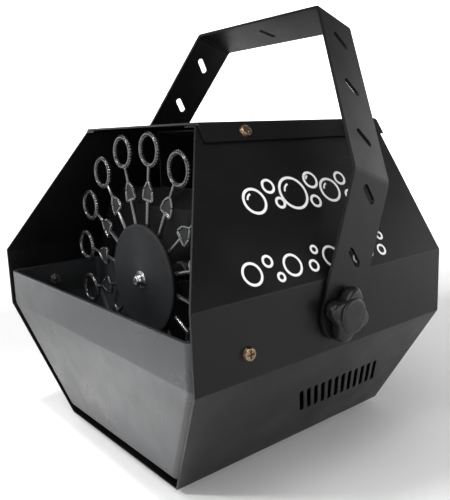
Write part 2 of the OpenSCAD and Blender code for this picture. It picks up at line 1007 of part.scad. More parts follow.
module axle_washer() {
  color([0.7, 0.7, 0.72])
    place()
      at_axle(disc_front)
        ring_washer(2 * shaft_r, axle_washer_t, shaft_r + run_fit);
}

module axle_nut() {
  color([0.75, 0.75, 0.76])
    place()
      at_axle(disc_front - axle_washer_t)
        nut(shaft_r + 2, axle_nut_h, shaft_r + run_fit);
}

module drive_shaft() {
  color([0.7, 0.7, 0.72])
    place()
      at_axle(shaft_end)
        cylinder(r = shaft_r, h = shaft_end - disc_front + axle_washer_t + axle_nut_h + shaft_out);
}

module gear_motor() {
  color([0.72, 0.72, 0.7])
    place()
      difference() {
        union() {
          at_axle(motor_front + motor_d)
            cylinder(r = motor_r, h = motor_d);
          at_axle(motor_front + 1)
            cylinder(r = motor_boss_r, h = sheet_t + motor_boss_out + 1);
          translate([-motor_screw_x - 5, motor_front, axle_z - 6])
            cube([2 * motor_screw_x + 10, motor_ear_t, 12]);
        }
        at_axle(shaft_end + 1)
          cylinder(r = shaft_r + run_fit, h = 40);
        at_motor_screws()
          cylinder(r = m4_r + screw_fit, h = through, center = true);
      }
}

module motor_screws() {
  color([0.6, 0.6, 0.62])
    place()
      at_motor_screws()
        screw(m4_r, sheet_t + motor_ear_t + m4_nut_h + thread_out, m4_head_r, m4_head_h);
}

module motor_nuts() {
  color([0.6, 0.6, 0.62])
    place()
      at_motor_screws()
        translate([0, 0, -sheet_t - motor_ear_t - m4_nut_h])
          nut(m4_nut_r, m4_nut_h, m4_r + run_fit);
}

// ---------- fan ----------

module at_fan(y) {
  translate([0, y, fan_z])
    rotate([90, 0, 0])
      children();
}

module fan_frame() {
  color([0.08, 0.08, 0.08])
    place()
      difference() {
        union() {
          difference() {
            translate([-fan_w / 2, fan_front, fan_z - fan_w / 2])
              cube([fan_w, fan_d, fan_w]);
            at_fan(fan_front + fan_d / 2)
              cylinder(r = fan_bore_r, h = 2 * fan_d, center = true);
          }
          at_fan(fan_front + stator_d)
            cylinder(r = rotor_hub_r, h = stator_d);
          for (a = [45, 135])
            at_fan(fan_front + strut_w - 1)
              rotate([0, 0, a])
                translate([-fan_bore_r - 1, -strut_w / 2, 0])
                  cube([2 * fan_bore_r + 2, strut_w, strut_w - 1]);
        }
        at_fan(fan_front + through)
          cylinder(r = fan_shaft_r + run_fit, h = 2 * through);
        at_fan_screws()
          cylinder(r = m4_r + screw_fit, h = 4 * fan_d, center = true);
      }
}

module fan_rotor() {
  tip_r = fan_bore_r - fan_tip_gap;
  rotor_d = rotor_back - rotor_front;
  color([0.1, 0.1, 0.1])
    place()
      at_fan(rotor_back)
        union() {
          cylinder(r = rotor_hub_r, h = rotor_d);
          cylinder(r = fan_shaft_r, h = rotor_d + stator_d);
          intersection() {
            translate([0, 0, 1])
              cylinder(r = tip_r, h = rotor_d - 2);
            for (i = [0:blade_count - 1])
              rotate([0, 0, i * 360 / blade_count])
                translate([rotor_hub_r - 2, 0, rotor_d / 2])
                  rotate([blade_pitch, 0, 0])
                    translate([0, -through, -0.8])
                      cube([tip_r, 2 * through, 1.6]);
          }
        }
}

fan_screw_l = sheet_t + fan_d + m4_nut_h + thread_out;
module fan_screws() {
  color([0.6, 0.6, 0.62])
    place()
      at_fan_screws()
        screw(m4_r, fan_screw_l, m4_head_r, m4_head_h);
}

module fan_nuts() {
  color([0.6, 0.6, 0.62])
    place()
      at_fan_screws()
        translate([0, 0, -sheet_t - fan_d - m4_nut_h])
          nut(m4_nut_r, m4_nut_h, m4_r + run_fit);
}

// ---------- rear fittings ----------

inlet_body_w = 27;
inlet_body_h = 20;
inlet_flange_w = 48;
module power_inlet() {
  color([0.05, 0.05, 0.05])
    place()
      difference() {
        union() {
          translate([-inlet_x - inlet_flange_w / 2, body_d, fittings_z - inlet_body_h / 2 - 1.5])
            cube([inlet_flange_w, inlet_flange_t, inlet_body_h + 3]);
          translate([-inlet_x - inlet_body_w / 2, body_d - inlet_depth, fittings_z - inlet_body_h / 2])
            cube([inlet_body_w, inlet_depth + 1, inlet_body_h]);
        }
        translate([-inlet_x, body_d + inlet_flange_t - inlet_mouth_d, fittings_z])
          rotate([-90, 0, 0])
            linear_extrude(inlet_mouth_d + 1)
              inlet_mouth();
        at_inlet_screws()
          cylinder(r = m3_r + screw_fit, h = through, center = true);
      }
}

// Mouth of a three-pin appliance inlet: a rectangle with two chamfered upper corners.
mouth_chamfer = 5;
module inlet_mouth() {
  w = inlet_mouth_w / 2;
  h = inlet_mouth_h / 2;
  polygon([[-w, h], [w, h], [w, -h + mouth_chamfer], [w - mouth_chamfer, -h],
    [-w + mouth_chamfer, -h], [-w, -h + mouth_chamfer]]);
}

pin_w = 2;
pin_h = 4;
pin_pitch = 7;
pin_l = 15;
module inlet_pins() {
  pins = [[-pin_pitch, -2], [pin_pitch, -2], [0, 2]];
  color([0.75, 0.72, 0.62])
    place()
      for (p = pins)
        translate([-inlet_x + p[0] - pin_w / 2, body_d + inlet_flange_t - inlet_mouth_d,
            fittings_z + p[1] - pin_h / 2])
          cube([pin_w, pin_l, pin_h]);
}

module inlet_screws() {
  color([0.12, 0.12, 0.12])
    place()
      at_inlet_screws()
        screw(m3_r, inlet_screw_l, m3_head_r, m3_head_h);
}

switch_body_w = 13;
switch_body_l = 19;
pocket_d = 12;
module switch_housing() {
  color([0.06, 0.06, 0.06])
    place()
      translate([0, 0, fittings_z])
        difference() {
          union() {
            translate([-switch_w / 2, body_d, -switch_l / 2])
              cube([switch_w, switch_frame_t, switch_l]);
            translate([-switch_body_w / 2, body_d - switch_body_d, -switch_body_l / 2])
              cube([switch_body_w, switch_body_d + 1, switch_body_l]);
          }
          translate([-rocker_w / 2 - panel_fit, body_d - pocket_d, -rocker_r - panel_fit])
            cube([rocker_w + 2 * panel_fit, pocket_d + through, 2 * (rocker_r + panel_fit)]);
          translate([0, rocker_axis_y, 0])
            rotate([0, 90, 0])
              cylinder(r = rocker_pin_r + run_fit, h = rocker_w + 2.2, center = true);
        }
}

// Rocker: a drum segment around its pivot pins, with two flat faces meeting in a shallow V.
module switch_rocker() {
  face = 4.6;
  color([0.5, 0.05, 0.04])
    place()
      translate([0, rocker_axis_y, fittings_z])
        rotate([rocker_tilt, 0, 0])
          union() {
            intersection() {
              rotate([0, 90, 0])
                cylinder(r = rocker_r, h = rocker_w, center = true);
              along_x(-rocker_w / 2 - 1, rocker_w / 2 + 1)
                polygon([[-6, -10], [-6, 10], [face + 1.4, 10], [face - 0.6, 0], [face + 1.4, -10]]);
            }
            rotate([0, 90, 0])
              cylinder(r = rocker_pin_r, h = rocker_w + 2, center = true);
          }
}

fuse_len = 32;
fuse_bore_r = 4.4;
fuse_cap_r = 6.6;
module fuse_holder() {
  color([0.06, 0.06, 0.06])
    place()
      translate([fuse_x, body_d, fittings_z])
        rotate([-90, 0, 0])
          difference() {
            union() {
              cylinder(r = fuse_flange_r, h = 2);
              translate([0, 0, -fuse_len])
                cylinder(r = fuse_r, h = fuse_len + 1);
            }
            translate([0, 0, 2 - fuse_len])
              cylinder(r = fuse_bore_r, h = fuse_len + 1);
          }
}

module fuse_cap() {
  color([0.08, 0.08, 0.08])
    place()
      translate([fuse_x, body_d + 2, fittings_z])
        rotate([-90, 0, 0])
          difference() {
            union() {
              cylinder(r = fuse_cap_r, h = rear_out - 2);
              translate([0, 0, -6])
                cylinder(r = fuse_bore_r - run_fit, h = 7);
            }
            translate([-fuse_cap_r, -0.7, rear_out - 3])
              cube([2 * fuse_cap_r, 1.4, 2]);
          }
}

// ---------- wiring block on the floor ----------

block_l = 40;
block_w = 18;
block_h = 15;
block_y = 150;
block_screw_x = 15;
module at_terminal_screws() {
  both_sides()
    translate([block_screw_x, block_y, sheet_t])
      children();
}

module terminal_block() {
  color([0.85, 0.84, 0.8])
    place()
      difference() {
        translate([-block_l / 2, block_y - block_w / 2, sheet_t])
          cube([block_l, block_w, block_h]);
        for (x = [-1:1])
          translate([x * block_l / 4, block_y, sheet_t + block_h / 2])
            rotate([90, 0, 0])
              cylinder(r = 2.2, h = 2 * block_w, center = true);
        at_terminal_screws()
          cylinder(r = m3_r + screw_fit, h = 60, center = true);
      }
}

module terminal_screws() {
  color([0.6, 0.6, 0.62])
    place()
      at_terminal_screws()
        translate([0, 0, block_h])
          screw(m3_r, block_h + sheet_t, m3_head_r, m3_head_h);
}

shell();
top_cover();
rear_panel();
bulkhead();
air_duct();
solution_tank();
tank_pads();
tank_washers();
tank_screws();
tank_nuts();
cover_screws();
rear_screws();
rubber_feet();
foot_screws();
foot_nuts();
pivot_washers();
pivot_nuts();
gear_motor();
motor_screws();
motor_nuts();
fan_frame();
fan_screws();
fan_nuts();
power_inlet();
inlet_pins();
inlet_screws();
switch_housing();
fuse_holder();
fuse_cap();
terminal_block();
terminal_screws();
wand_wheel();
shaft_spacer();
hub_disc();
axle_washer();
axle_nut();
drive_shaft();
fan_rotor();
switch_rocker();
yoke();
knob_left();
stud_left();
knob_right();
stud_right();
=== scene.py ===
import json
import math

import bmesh
import bpy
from mathutils import Matrix, Vector


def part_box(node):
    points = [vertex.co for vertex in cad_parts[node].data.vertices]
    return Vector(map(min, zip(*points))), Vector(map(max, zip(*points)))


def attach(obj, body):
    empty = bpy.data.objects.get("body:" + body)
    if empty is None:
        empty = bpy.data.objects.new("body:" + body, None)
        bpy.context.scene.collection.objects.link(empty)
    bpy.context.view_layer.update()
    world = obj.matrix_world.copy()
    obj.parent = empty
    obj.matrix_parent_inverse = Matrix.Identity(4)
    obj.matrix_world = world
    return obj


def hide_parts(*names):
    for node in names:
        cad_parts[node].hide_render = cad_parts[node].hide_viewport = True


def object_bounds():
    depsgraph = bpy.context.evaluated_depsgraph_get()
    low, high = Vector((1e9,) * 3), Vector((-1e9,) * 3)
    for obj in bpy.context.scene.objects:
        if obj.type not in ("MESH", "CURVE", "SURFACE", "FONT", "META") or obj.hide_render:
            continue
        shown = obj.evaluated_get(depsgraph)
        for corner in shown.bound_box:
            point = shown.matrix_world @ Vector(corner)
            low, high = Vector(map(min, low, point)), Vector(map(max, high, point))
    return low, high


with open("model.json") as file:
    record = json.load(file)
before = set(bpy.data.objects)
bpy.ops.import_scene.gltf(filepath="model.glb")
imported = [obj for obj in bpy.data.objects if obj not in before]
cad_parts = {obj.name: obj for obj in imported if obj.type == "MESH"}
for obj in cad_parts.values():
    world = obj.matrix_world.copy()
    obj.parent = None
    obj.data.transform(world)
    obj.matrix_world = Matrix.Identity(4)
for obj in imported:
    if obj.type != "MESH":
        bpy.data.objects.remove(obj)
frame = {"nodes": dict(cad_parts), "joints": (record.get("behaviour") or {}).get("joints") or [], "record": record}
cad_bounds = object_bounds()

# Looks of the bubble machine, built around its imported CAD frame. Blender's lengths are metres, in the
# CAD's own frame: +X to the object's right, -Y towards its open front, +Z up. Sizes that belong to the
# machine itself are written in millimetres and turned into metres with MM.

MM = 0.001
NODES = frame["nodes"]
JOINTS = {j["name"]: j for j in frame["joints"]}
BODIES = frame["record"]["behaviour"]["bodies"]
BODY_OF = {node: body for body, members in BODIES.items() for node in members}
SLOT_OF = {row["node"]: row["material_slot"] for row in frame["record"]["subparts"]}


# ---------------------------------------------------------------- camera

# Degrees round the object from straight ahead, upwards, and of tilt about the line of sight
AZIMUTH, ELEVATION, ROLL = 51.42, 11.02, -2.19
# Metres to the right of the middle, ahead of the front edges and above the housing's underside
CAMERA_RIGHT, CAMERA_AHEAD, CAMERA_HEIGHT = 0.3393, 0.15325, 0.2036
FOCAL_LENGTH, SENSOR_WIDTH = 43.56, 36


def make_camera():
    """Looks at the object from the right of its open front, slightly from above, with a small roll."""
    azimuth, elevation, roll = (math.radians(a) for a in (AZIMUTH, ELEVATION, ROLL))
    front_y = cad_bounds[0].y
    foot_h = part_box("rubber_feet")[1].z
    place = Vector((CAMERA_RIGHT, front_y - CAMERA_AHEAD, foot_h + CAMERA_HEIGHT))
    back = Vector((math.sin(azimuth) * math.cos(elevation),
                   -math.cos(azimuth) * math.cos(elevation), math.sin(elevation)))
    right = (-back).cross(Vector((0, 0, 1))).normalized()
    up = right.cross(-back)
    right, up = (right * math.cos(roll) + up * math.sin(roll),
                 up * math.cos(roll) - right * math.sin(roll))
    data = bpy.data.cameras.new("camera")
    data.lens = FOCAL_LENGTH
    data.sensor_width = SENSOR_WIDTH
    data.clip_start = 0.01
    camera = bpy.data.objects.new("camera", data)
    camera.matrix_world = Matrix((
        (right.x, up.x, back.x, place.x),
        (right.y, up.y, back.y, place.y),
        (right.z, up.z, back.z, place.z),
        (0, 0, 0, 1)))
    bpy.context.scene.collection.objects.link(camera)
    bpy.context.scene.camera = camera


make_camera()


# ---------------------------------------------------------------- materials

# A noise value drifts round 0.5. Patches fade over the first pair, gloss over the second.
PATCH_FADE, GLOSS_FADE = (0.35, 0.65), (0.3, 0.7)
SPECK_FADE, SPECK_SHARE = 0.03, 0.6


class Surface:
    """A principled material with small helpers for its procedural detail."""

    def __init__(self, name, color, roughness, metallic=0.0, **extra):
        self.material = bpy.data.materials.new(name)
        self.material.use_nodes = True
        self.tree = self.material.node_tree
        self.shader = self.tree.nodes["Principled BSDF"]
        self.shader.inputs["Base Color"].default_value = (*color, 1)
        self.shader.inputs["Roughness"].default_value = roughness
        self.shader.inputs["Metallic"].default_value = metallic
        for socket, value in extra.items():
            self.shader.inputs[socket.replace("_", " ")].default_value = value
        self.roughness = roughness
        self.last_color = None
        self.coords = self.tree.nodes.new("ShaderNodeTexCoord").outputs["Object"]

    def link(self, output, socket):
        self.tree.links.new(output, socket)

    def noise(self, scale, detail=3.0):
        noise = self.tree.nodes.new("ShaderNodeTexNoise")
        noise.inputs["Scale"].default_value = scale
        noise.inputs["Detail"].default_value = detail
        self.link(self.coords, noise.inputs["Vector"])
        return noise.outputs["Fac"]

    def ramp(self, value, low, high, low_out, high_out):
        """Maps value from low..high to low_out..high_out, clamped."""
        node = self.tree.nodes.new("ShaderNodeMapRange")
        node.inputs["From Min"].default_value = low
        node.inputs["From Max"].default_value = high
        node.inputs["To Min"].default_value = low_out
        node.inputs["To Max"].default_value = high_out
        self.link(value, node.inputs["Value"])
        return node.outputs["Result"]

    def mix_in(self, color, share):
        """Mixes a colour into the base colour, as much as share says."""
        mix = self.tree.nodes.new("ShaderNodeMix")
        mix.data_type = "RGBA"
        base = self.shader.inputs["Base Color"]
        if self.last_color:
            self.link(self.last_color, mix.inputs["A"])
        else:
            mix.inputs["A"].default_value = base.default_value
        mix.inputs["B"].default_value = (*color, 1)
        self.link(share, mix.inputs["Factor"])
        self.link(mix.outputs["Result"], base)
        self.last_color = mix.outputs["Result"]
        return self

    def mottle(self, scale, other):
        """Colour drifts between the base colour and another in soft patches."""
        return self.mix_in(other, self.ramp(self.noise(scale), *PATCH_FADE, 0, 1))

    def specks(self, scale, color, threshold):
        """Small pale dust specks over whatever colour is there."""
        share = self.ramp(self.noise(scale, 1.0), threshold, threshold + SPECK_FADE, 0, SPECK_SHARE)
        return self.mix_in(color, share)

    def rough(self, scale, spread):
        """Gloss drifts by spread each way."""
        least, most = self.roughness - spread, self.roughness + spread
        value = self.ramp(self.noise(scale, 4.0), *GLOSS_FADE, least, most)
        self.link(value, self.shader.inputs["Roughness"])
        return self

    def bump(self, scale, depth):
        """A fine grain, depth metres deep."""
        node = self.tree.nodes.new("ShaderNodeBump")
        node.inputs["Distance"].default_value = depth
        node.inputs["Strength"].default_value = 1.0
        self.link(self.noise(scale, 2.0), node.inputs["Height"])
        self.link(node.outputs["Normal"], self.shader.inputs["Normal"])
        return self


def build_materials():
    """Every finish on the object, by name. Each has mottled colour, uneven gloss and a fine grain."""
    surfaces = {}

    def finish(name, *settings, **more):
        surfaces[name] = Surface(name, *settings, **more)
        return surfaces[name]

    (finish("painted_steel", (0.0032, 0.003, 0.0033), 0.36, Specular_IOR_Level=0.2)
     .mottle(14, (0.005, 0.0045, 0.0048)).specks(900, (0.03, 0.03, 0.03), 0.76)
     .rough(40, 0.06).bump(700, 0.00006))
    (finish("inner_steel", (0.004, 0.004, 0.0045), 0.42, Specular_IOR_Level=0.16)
     .mottle(18, (0.007, 0.007, 0.0078)).rough(50, 0.07).bump(700, 0.00006))
    # Near-white edge finish: partly bare metal on the sheets' cut edges, partly a painted highlight along them
    (finish("bare_edge_and_highlight", (0.85, 0.85, 0.87), 0.4, 0.2)
     .mottle(160, (0.4, 0.4, 0.41)).rough(300, 0.1).bump(1500, 0.00004))
    (finish("tank_plastic", (0.026, 0.027, 0.029), 0.31, Specular_IOR_Level=0.35)
     .mottle(22, (0.033, 0.0345, 0.037)).specks(700, (0.12, 0.12, 0.125), 0.75)
     .rough(60, 0.05).bump(1300, 0.00004))
    (finish("wheel_plastic", (0.018, 0.0185, 0.02), 0.17, Specular_IOR_Level=0.9)
     .mottle(60, (0.027, 0.028, 0.031)).rough(120, 0.06).bump(900, 0.00003))
    (finish("disc_plastic", (0.012, 0.0125, 0.0135), 0.55, Specular_IOR_Level=0.12)
     .mottle(40, (0.016, 0.0165, 0.0175)).specks(800, (0.05, 0.05, 0.055), 0.76)
     .rough(90, 0.06).bump(1100, 0.00004))
    (finish("knob_plastic", (0.006, 0.0058, 0.006), 0.28, Specular_IOR_Level=0.28)
     .mottle(90, (0.012, 0.0115, 0.0115)).rough(150, 0.07).bump(1600, 0.00003))
    (finish("black_plastic", (0.016, 0.016, 0.017), 0.45)
     .mottle(80, (0.022, 0.022, 0.023)).rough(140, 0.08).bump(2200, 0.00004))
    (finish("rocker_plastic", (0.32, 0.012, 0.01), 0.26)
     .mottle(120, (0.27, 0.01, 0.008)).rough(160, 0.05).bump(1500, 0.00002))
    (finish("rubber", (0.014, 0.014, 0.014), 0.72)
     .mottle(130, (0.024, 0.023, 0.022)).rough(200, 0.08).bump(1200, 0.00008))
    (finish("nylon", (0.62, 0.6, 0.54), 0.42, Subsurface_Weight=0.05)
     .mottle(130, (0.55, 0.53, 0.47)).rough(200, 0.06).bump(1500, 0.00003))
    (finish("ceramic", (0.7, 0.67, 0.6), 0.4)
     .mottle(130, (0.62, 0.59, 0.52)).rough(200, 0.06).bump(1500, 0.00003))
    (finish("bronze_screw", (0.36, 0.27, 0.18), 0.3, 1.0)
     .mottle(500, (0.2, 0.13, 0.08)).rough(700, 0.1).bump(2500, 0.00004))
    (finish("zinc_steel", (0.62, 0.62, 0.64), 0.3, 1.0)
     .mottle(400, (0.48, 0.48, 0.5)).rough(600, 0.1).bump(2500, 0.00003))
    (finish("black_screw", (0.03, 0.03, 0.032), 0.38, 0.6)
     .mottle(500, (0.05, 0.05, 0.05)).rough(600, 0.1).bump(2500, 0.00003))
    (finish("motor_steel", (0.5, 0.5, 0.5), 0.36, 1.0)
     .mottle(60, (0.42, 0.42, 0.42)).rough(200, 0.08).bump(900, 0.00004))
    (finish("pin_brass", (0.74, 0.66, 0.46), 0.26, 1.0)
     .mottle(500, (0.62, 0.54, 0.36)).rough(600, 0.08).bump(2500, 0.00002))
    # Much paler than the tub: a painted highlight along the tank's top edge
    (finish("tank_rim_highlight", (0.2, 0.205, 0.215), 0.35)
     .mottle(60, (0.14, 0.145, 0.15)).rough(90, 0.05).bump(1300, 0.00003))
    (finish("bright_steel", (0.42, 0.42, 0.44), 0.28, 1.0)
     .mottle(500, (0.3, 0.3, 0.31)).rough(600, 0.06).bump(2500, 0.00003))
    (finish("white_ink", (0.86, 0.86, 0.86), 0.5)
     .mottle(300, (0.8, 0.8, 0.8)).rough(500, 0.06).bump(2000, 0.00002))
    return {name: surface.material for name, surface in surfaces.items()}


MATERIALS = build_materials()


# ---------------------------------------------------------------- mesh helpers

def new_piece(name, mesh, body, material):
    """Makes a piece from a mesh and rides it on its body."""
    piece = bpy.data.objects.new(name, mesh)
    bpy.context.scene.collection.objects.link(piece)
    mesh.materials.clear()
    mesh.materials.append(MATERIALS[material])
    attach(piece, body)
    return piece


def replacing(mesh, node, material):
    """A piece that stands for a CAD node: on the node's body, in the finish given, with the node hidden."""
    piece = new_piece(node + "_piece", mesh, BODY_OF[node], material)
    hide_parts(node)
    return piece


def shade(mesh, angle=35):
    """Smooth shading that breaks at sharp edges."""
    mesh.shade_smooth()
    mesh.set_sharp_from_angle(angle=math.radians(angle))


def weight_normals(piece):
    """Keeps big flat faces flat next to their rounded edges."""
    modifier = piece.modifiers.new("weighted", "WEIGHTED_NORMAL")
    modifier.weight = 80
    modifier.keep_sharp = True


def clean_copy(node):
    """The CAD node's mesh as a bmesh with merged points and flat faces joined up."""
    bm = bmesh.new()
    bm.from_mesh(NODES[node].data)
    bmesh.ops.remove_doubles(bm, verts=bm.verts, dist=1e-6)
    bmesh.ops.dissolve_limit(bm, angle_limit=math.radians(0.4), verts=bm.verts, edges=bm.edges)
    bmesh.ops.recalc_face_normals(bm, faces=bm.faces)
    return bm


def edge_angle(edge):
    """Degrees between the two faces at an edge: 0 where they are flush, 90 at a square corner."""
    return math.degrees(edge.calc_face_angle(0))


def bevel(bm, edges, width, segments=2):
    """Rounds the edges over width, in metres."""
    if edges:
        bmesh.ops.bevel(bm, geom=edges, offset=width, offset_type="OFFSET", segments=segments,
                        profile=0.5, affect="EDGES", clamp_overlap=True, miter_outer="SHARP")


def to_mesh(bm, name):
    """The finished bmesh as a named mesh."""
    mesh = bpy.data.meshes.new(name)
    bm.to_mesh(mesh)
    bm.free()
    return mesh


HARD_EDGE, SHEET_CORNER = 38, 50
FOLD_ANGLES, SHORTEST_FOLD = (15, 75), 20


def softened(node, width, material):
    """The CAD node with its hard edges rounded, standing in for that node."""
    bm = clean_copy(node)
    bevel(bm, [e for e in bm.edges if edge_angle(e) > HARD_EDGE], width)
    mesh = to_mesh(bm, node + "_mesh")
    shade(mesh)
    weight_normals(replacing(mesh, node, material))


def folded(node, width, fold_dir, fold_radius, material, edge_test):
    """A bent-sheet node: rounded folds, eased edges, and pale edges where edge_test says so, partly bare metal and
    partly a painted highlight.
    """
    bm = clean_copy(node)
    direction = Vector(fold_dir).normalized()
    folds = [e for e in bm.edges
             if FOLD_ANGLES[0] < edge_angle(e) < FOLD_ANGLES[1] and e.calc_length() > SHORTEST_FOLD * MM
             and abs((e.verts[1].co - e.verts[0].co).normalized().dot(direction)) > 0.999]
    bevel(bm, folds, fold_radius, 4)
    bevel(bm, [e for e in bm.edges if edge_angle(e) > SHEET_CORNER], width, 1)
    bm.normal_update()
    for face in bm.faces:
        # Faces that edge_test picks take the pale edge finish, a painted highlight on partly bare metal
        face.material_index = 1 if edge_test(face) else 0
    mesh = to_mesh(bm, node + "_mesh")
    shade(mesh)
    piece = replacing(mesh, node, material)
    mesh.materials.append(MATERIALS["bare_edge_and_highlight"])
    weight_normals(piece)


# ---------------------------------------------------------------- turned and swept shapes

def axis_frame(axis):
    """Unit vectors along an axis and across it, the last one upwards for a level axis."""
    along = Vector(axis).normalized()
    side = Vector((0, 0, 1)).cross(along) if abs(along.z) < 0.9 else Vector((1, 0, 0)).cross(along)
    side.normalize()
    return along, side, along.cross(side)


def turned(bm, profile, centre, axis, segments=48, closed=False, radius_of=None):
    """Turns (radius, distance) points round an axis. radius_of(radius, angle) can vary the radius."""
    along, side, up = axis_frame(axis)
    rings = []
    for radius, distance in profile:
        middle = Vector(centre) + along * distance
        if radius == 0:
            rings.append([bm.verts.new(middle)])
            continue
        ring = []
        for i in range(segments):
            angle = 2 * math.pi * i / segments
            r = radius_of(radius, angle) if radius_of else radius
            ring.append(bm.verts.new(middle + (side * math.cos(angle) + up * math.sin(angle)) * r))
        rings.append(ring)
    pairs = list(zip(rings, rings[1:])) + ([(rings[-1], rings[0])] if closed else [])
    for near, far in pairs:
        for i in range(max(len(near), len(far))):
            j = i + 1
            corners = [near[i % len(near)], near[j % len(near)], far[j % len(far)], far[i % len(far)]]
            corners = list(dict.fromkeys(corners))
            if len(corners) > 2:
                bm.faces.new(corners)


def bar(bm, start, end, radius, sides=12):
    """A round bar with domed ends between two points."""
    start, end = Vector(start), Vector(end)
    length = (end - start).length
    dome = [(0, 0), (0.6 * radius, 0.12 * radius), (0.9 * radius, 0.5 * radius), (radius, radius)]
    profile = dome + [(r, length - d) for r, d in reversed(dome)]
    turned(bm, profile, start, end - start, sides)


def prism(bm, outline, depth):
    """A flat outline made solid along depth."""
    depth = Vector(depth)
    base = [bm.verts.new(Vector(p)) for p in outline]
    top = [bm.verts.new(Vector(p) + depth) for p in outline]
    bm.faces.new(base)
    bm.faces.new(list(reversed(top)))
    for i in range(len(base)):
        j = (i + 1) % len(base)
        bm.faces.new((base[j], base[i], top[i], top[j]))


def finished(bm, name, angle=35):
    """The bmesh as a mesh with its faces turned outwards and its sharp edges kept."""
    bmesh.ops.recalc_face_normals(bm, faces=bm.faces)
    mesh = to_mesh(bm, name)
    shade(mesh, angle)
    return mesh


def carved(mesh, cutter):
    """The mesh with another mesh taken out of it."""
    body = bpy.data.objects.new("carve_body", mesh)
    tool = bpy.data.objects.new("carve_tool", cutter)
    for item in (body, tool):
        bpy.context.scene.collection.objects.link(item)
    cut = body.modifiers.new("cut", "BOOLEAN")
    cut.operation = "DIFFERENCE"
    cut.solver = "EXACT"
    cut.object = tool
    depsgraph = bpy.context.evaluated_depsgraph_get()
    result = bpy.data.meshes.new_from_object(body.evaluated_get(depsgraph))
    for item in (body, tool):
        bpy.data.objects.remove(item)
    return result


# ---------------------------------------------------------------- sizes of the housing, in millimetres

SHELL_LOW, SHELL_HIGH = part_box("shell")
FRONT_Y, FLOOR_Z = SHELL_LOW.y / MM, SHELL_LOW.z / MM
BODY_W, BODY_H = (SHELL_HIGH.x - SHELL_LOW.x) / MM, (SHELL_HIGH.z - SHELL_LOW.z) / MM
# Widths of the flat top and underside, and heights of the folds below and above the middle facets
TOP_W, BOTTOM_W = 131, 138
FOLD_LOW, FOLD_HIGH = 80, 122
# How far back the front edges lean below the lower fold
LOWER_RAKE = 20
UPPER_SLOPE = math.atan((BODY_W - TOP_W) / 2 / (BODY_H - FOLD_HIGH))
LOWER_SLOPE = math.atan((BODY_W - BOTTOM_W) / 2 / FOLD_LOW)


def half_width(z, inset):
    """Half the housing's width at a height, less a gap measured square to its sides."""
    return min(BODY_W / 2 - inset,
               TOP_W / 2 + (BODY_H - z) * math.tan(UPPER_SLOPE) - inset / math.cos(UPPER_SLOPE),
               BOTTOM_W / 2 + z * math.tan(LOWER_SLOPE) - inset / math.cos(LOWER_SLOPE))


def shared(x, y, z):
    """From millimetres in the housing's frame (front at Y 0, underside at Z 0) to the shared frame."""
    return Vector((x, y + FRONT_Y, z + FLOOR_Z)) * MM


# ---------------------------------------------------------------- sheet metal

# Faces further back than this are not the front edges of the housing's sheet
CUT_EDGE_REACH = 56


# These faces take the pale edge finish, which paints a highlight along the housing's front edges
def is_highlit_cut_edge(face):
    """Front cut edge of the housing's sheet: a narrow face that looks forwards."""
    return face.normal.y < -0.5 and face.calc_center_median().y < (FRONT_Y + CUT_EDGE_REACH) * MM


YOKE_LEAN = math.radians(20)
ACROSS_BAR = Vector((0, math.cos(YOKE_LEAN), -math.sin(YOKE_LEAN)))


# These faces take the pale edge finish, which paints a highlight along the yoke's bar
def is_highlit_bar_edge(face):
    """Either long narrow edge of the yoke's flat bar."""
    return abs(face.normal.dot(ACROSS_BAR)) > 0.93


# These faces take the pale edge finish, which paints a highlight along the bulkhead's top edge
def is_highlit_bulkhead_top(face):
    """The upward-looking edge at the very top of the bulkhead's bent flange."""
    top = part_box("bulkhead")[1].z
    return face.normal.z > 0.3 and face.calc_center_median().z > top - 1.5 * MM


def build_sheet_metal():
    folded("shell", 0.2 * MM, (0, 1, 0), 1.6 * MM, "painted_steel", is_highlit_cut_edge)
    folded("top_cover", 0.2 * MM, (0, 1, 0), 1.2 * MM, "painted_steel", is_highlit_cut_edge)
    folded("yoke", 0.25 * MM, ACROSS_BAR, 1.8 * MM, "painted_steel", is_highlit_bar_edge)
    folded("bulkhead", 0.2 * MM, (1, 0, 0), 1.0 * MM, "inner_steel", is_highlit_bulkhead_top)
    softened("air_duct", 0.2 * MM, "inner_steel")
    softened("rear_panel", 0.25 * MM, "painted_steel")


# ---------------------------------------------------------------- fluid tank

# Gap to the housing's sides and front, corner radius, and wall
TANK_INSET, TANK_AHEAD, TANK_ROUND, TANK_WALL = 2.2, 0.5, 6, 2.5
TANK_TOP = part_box("solution_tank")[1].z / MM - FLOOR_Z
TANK_FLOOR, TANK_BACK = 5, 76
# The notch in the rear wall for the shaft and its spacer
NOTCH_HALF, NOTCH_Z = 7, 103
RIM_ROUND = 0.55
# The CAD's corner balls are faceted, so their flats lie this far in
CORNER_FIT = math.cos(math.radians(15))


def tub_corners():
    """Centres of the balls that the tub is stretched over, in the shared frame."""
    inset = TANK_INSET + TANK_ROUND
    floor_z = TANK_FLOOR + TANK_ROUND
    low_fold = (BODY_W / 2 - inset - BOTTOM_W / 2 + inset / math.cos(LOWER_SLOPE)) / math.tan(LOWER_SLOPE)
    levels = ((half_width(floor_z, inset), floor_z, LOWER_RAKE * (1 - floor_z / FOLD_LOW)),
              (BODY_W / 2 - inset, low_fold, 0),
              (BODY_W / 2 - inset, TANK_TOP + TANK_ROUND, 0))
    for half, z, rake in levels:
        for side in (-1, 1):
            for y in (rake + TANK_ROUND + TANK_AHEAD, TANK_BACK - TANK_ROUND):
                yield shared(side * half, y, z)


